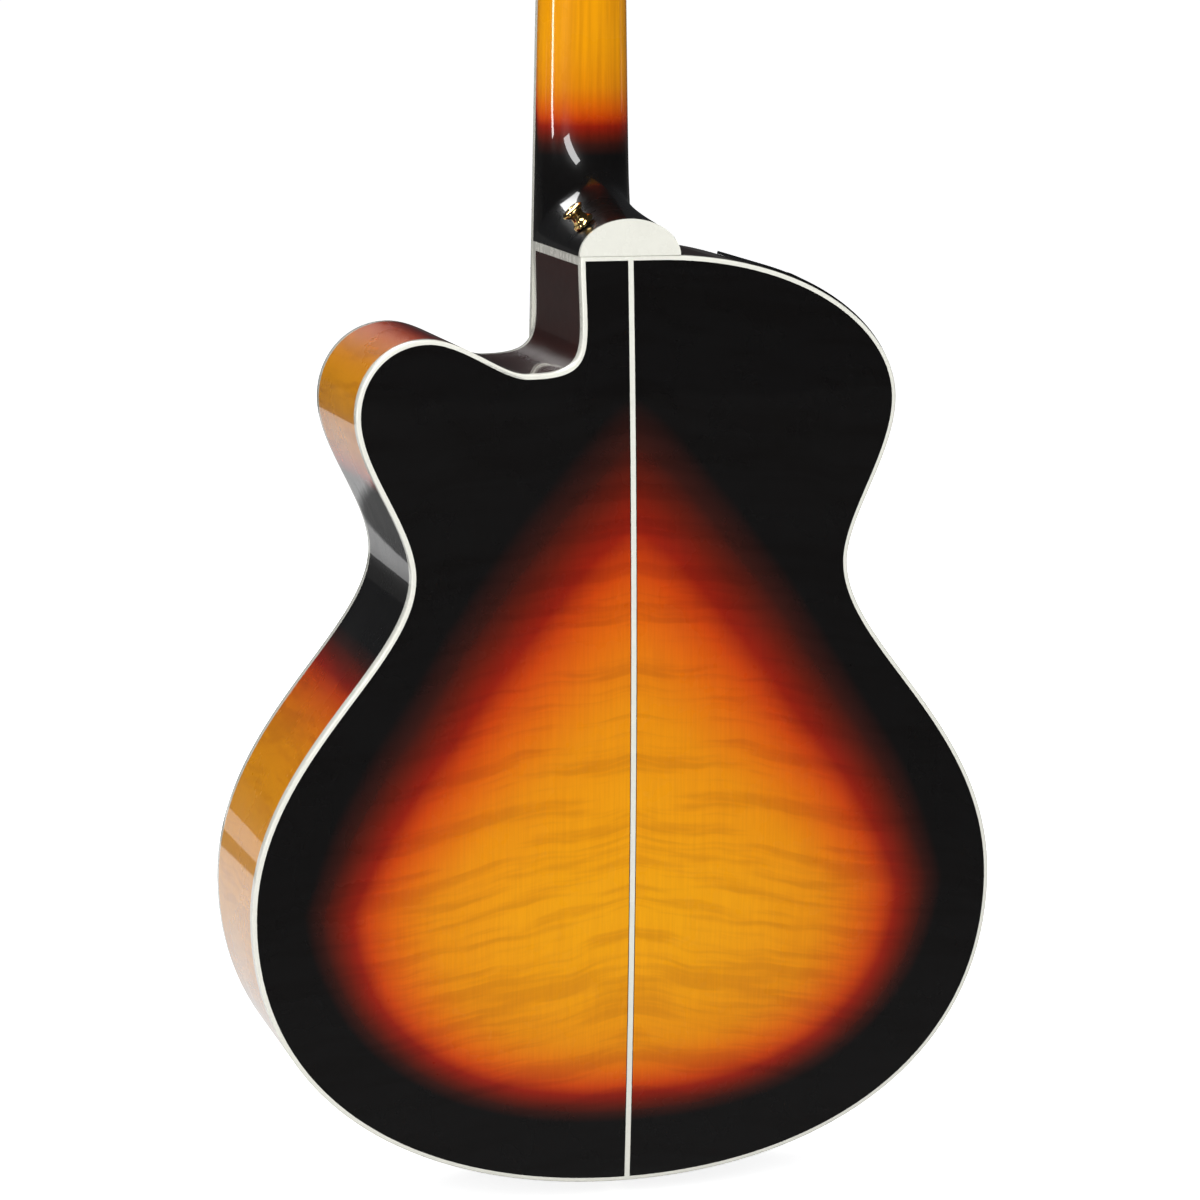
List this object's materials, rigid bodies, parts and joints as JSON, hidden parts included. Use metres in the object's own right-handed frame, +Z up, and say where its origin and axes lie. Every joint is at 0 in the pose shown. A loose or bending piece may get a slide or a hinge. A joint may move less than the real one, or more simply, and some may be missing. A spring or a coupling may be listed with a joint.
{
  "type": "acoustic guitar",
  "caption": "Jumbo acoustic-electric guitar with a rounded cutaway, sunburst flame maple back and sides, gold hardware and a preamp in the shoulder.",
  "frame": {"origin": "on the nut line at the middle of the neck, in the plane of the soundboard", "axes": "+Z up the neck to the headstock, +Y from the soundboard to the back, +X to the treble side with the cutaway"},
  "size_m": [0.425, 0.1291, 1.0674],
  "materials": {
    "spruce": "gloss",
    "flame_maple_burst": "gloss",
    "mahogany": "matte",
    "gloss_neck": "gloss",
    "ivory_plastic": "gloss",
    "rosewood": "satin",
    "maple_plain": "matte",
    "bone": "satin",
    "black_plastic": "gloss",
    "pearl": "gloss",
    "steel": "satin",
    "gold": "polished",
    "bronze": "satin"
  },
  "bodies": {
    "root": {"truss_rod": "steel", "heel_cap": "ivory_plastic", "strap_button_heel": "gold", "fingerboard_binding": "ivory_plastic", "fingerboard": "rosewood", "fret_markers": "pearl", "frets": "steel", "nut": "bone", "truss_rod_cover": "black_plastic", "tuner_housings": "gold", "tuner_bushings": "gold", "headstock_screws": "gold", "headstock_veneer": "black_plastic", "neck": "gloss_neck", "strings": "bronze", "soundboard": "spruce", "top_inlays": "ivory_plastic", "bridge": "rosewood", "saddle": "bone", "bridge_pins": "black_plastic", "pickguard": "black_plastic", "binding_top": "ivory_plastic", "binding_back": "ivory_plastic", "cutaway_end_strip": "ivory_plastic", "tail_strip": "ivory_plastic", "rib_treble": "flame_maple_burst", "rib_bass": "flame_maple_burst", "back_centre_strip": "ivory_plastic", "back_treble": "flame_maple_burst", "back_bass": "flame_maple_burst", "linings": "mahogany", "neck_block": "mahogany", "tail_block": "mahogany", "neck_bolts": "steel", "x_brace": "spruce", "top_braces": "spruce", "bridge_plate": "maple_plain", "back_braces": "spruce", "back_reinforcement": "spruce", "strap_button_tail": "gold", "preamp_panel": "black_plastic", "preamp_module": "black_plastic", "battery": "steel"},
    "tuner_button_body_1": {"tuner_button_1": "gold"},
    "tuner_post_body_1": {"tuner_post_1": "gold"},
    "tuner_button_body_2": {"tuner_button_2": "gold"},
    "tuner_post_body_2": {"tuner_post_2": "gold"},
    "tuner_button_body_3": {"tuner_button_3": "gold"},
    "tuner_post_body_3": {"tuner_post_3": "gold"},
    "tuner_button_body_4": {"tuner_button_4": "gold"},
    "tuner_post_body_4": {"tuner_post_4": "gold"},
    "tuner_button_body_5": {"tuner_button_5": "gold"},
    "tuner_post_body_5": {"tuner_post_5": "gold"},
    "tuner_button_body_6": {"tuner_button_6": "gold"},
    "tuner_post_body_6": {"tuner_post_6": "gold"},
    "knob_body_1": {"preamp_knob_1": "black_plastic"},
    "knob_body_2": {"preamp_knob_2": "black_plastic"},
    "knob_body_3": {"preamp_knob_3": "black_plastic"},
    "push_button_body": {"preamp_push_button": "black_plastic"},
    "battery_door_body": {"battery_door": "black_plastic"}
  },
  "joints": [
    {"name": "tuner_button_turn_1", "type": "hinge", "parent": "root", "child": "tuner_button_body_1", "pos_m": [-0.053, 0.02951, 0.03923], "axis": [-1, 0, 0], "continuous": true},
    {"name": "tuner_post_turn_1", "type": "hinge", "parent": "root", "child": "tuner_post_body_1", "pos_m": [-0.025, 0.03136, 0.04665], "axis": [0, -0.9703, 0.2419], "continuous": true},
    {"name": "tuner_button_turn_2", "type": "hinge", "parent": "root", "child": "tuner_button_body_2", "pos_m": [-0.053, 0.03918, 0.07804], "axis": [-1, 0, 0], "continuous": true},
    {"name": "tuner_post_turn_2", "type": "hinge", "parent": "root", "child": "tuner_post_body_2", "pos_m": [-0.025, 0.04104, 0.08546], "axis": [0, -0.9703, 0.2419], "continuous": true},
    {"name": "tuner_button_turn_3", "type": "hinge", "parent": "root", "child": "tuner_button_body_3", "pos_m": [-0.053, 0.04886, 0.11685], "axis": [-1, 0, 0], "continuous": true},
    {"name": "tuner_post_turn_3", "type": "hinge", "parent": "root", "child": "tuner_post_body_3", "pos_m": [-0.025, 0.05071, 0.12427], "axis": [0, -0.9703, 0.2419], "continuous": true},
    {"name": "tuner_button_turn_4", "type": "hinge", "parent": "root", "child": "tuner_button_body_4", "pos_m": [0.053, 0.04886, 0.11685], "axis": [1, 0, 0], "continuous": true},
    {"name": "tuner_post_turn_4", "type": "hinge", "parent": "root", "child": "tuner_post_body_4", "pos_m": [0.025, 0.05071, 0.12427], "axis": [0, -0.9703, 0.2419], "continuous": true},
    {"name": "tuner_button_turn_5", "type": "hinge", "parent": "root", "child": "tuner_button_body_5", "pos_m": [0.053, 0.03918, 0.07804], "axis": [1, 0, 0], "continuous": true},
    {"name": "tuner_post_turn_5", "type": "hinge", "parent": "root", "child": "tuner_post_body_5", "pos_m": [0.025, 0.04104, 0.08546], "axis": [0, -0.9703, 0.2419], "continuous": true},
    {"name": "tuner_button_turn_6", "type": "hinge", "parent": "root", "child": "tuner_button_body_6", "pos_m": [0.053, 0.02951, 0.03923], "axis": [1, 0, 0], "continuous": true},
    {"name": "tuner_post_turn_6", "type": "hinge", "parent": "root", "child": "tuner_post_body_6", "pos_m": [0.025, 0.03136, 0.04665], "axis": [0, -0.9703, 0.2419], "continuous": true},
    {"name": "knob_volume", "type": "hinge", "parent": "root", "child": "knob_body_1", "pos_m": [-0.10307, 0.033, -0.37537], "axis": [-0.4392, 0, 0.8984], "range_deg": [-140, 140]},
    {"name": "knob_bass", "type": "hinge", "parent": "root", "child": "knob_body_2", "pos_m": [-0.10307, 0.053, -0.37537], "axis": [-0.4392, 0, 0.8984], "range_deg": [-140, 140]},
    {"name": "knob_treble", "type": "hinge", "parent": "root", "child": "knob_body_3", "pos_m": [-0.10307, 0.073, -0.37537], "axis": [-0.4392, 0, 0.8984], "range_deg": [-140, 140]},
    {"name": "push_button", "type": "slide", "parent": "root", "child": "push_button_body", "axis": [0.5788, 0, -0.8155], "range_m": [0, 0.0012], "stiffness_N_per_m": 200},
    {"name": "battery_door_open", "type": "hinge", "parent": "root", "child": "battery_door_body", "pos_m": [-0.14825, 0.053, -0.41286], "axis": [0, -1, 0], "range_deg": [0, 95]}
  ],
  "couplings": [
    {"joint": "tuner_post_turn_1", "follows": "tuner_button_turn_1", "ratio": -0.0625},
    {"joint": "tuner_post_turn_2", "follows": "tuner_button_turn_2", "ratio": -0.0625},
    {"joint": "tuner_post_turn_3", "follows": "tuner_button_turn_3", "ratio": -0.0625},
    {"joint": "tuner_post_turn_4", "follows": "tuner_button_turn_4", "ratio": 0.0625},
    {"joint": "tuner_post_turn_5", "follows": "tuner_button_turn_5", "ratio": 0.0625},
    {"joint": "tuner_post_turn_6", "follows": "tuner_button_turn_6", "ratio": 0.0625}
  ]
}
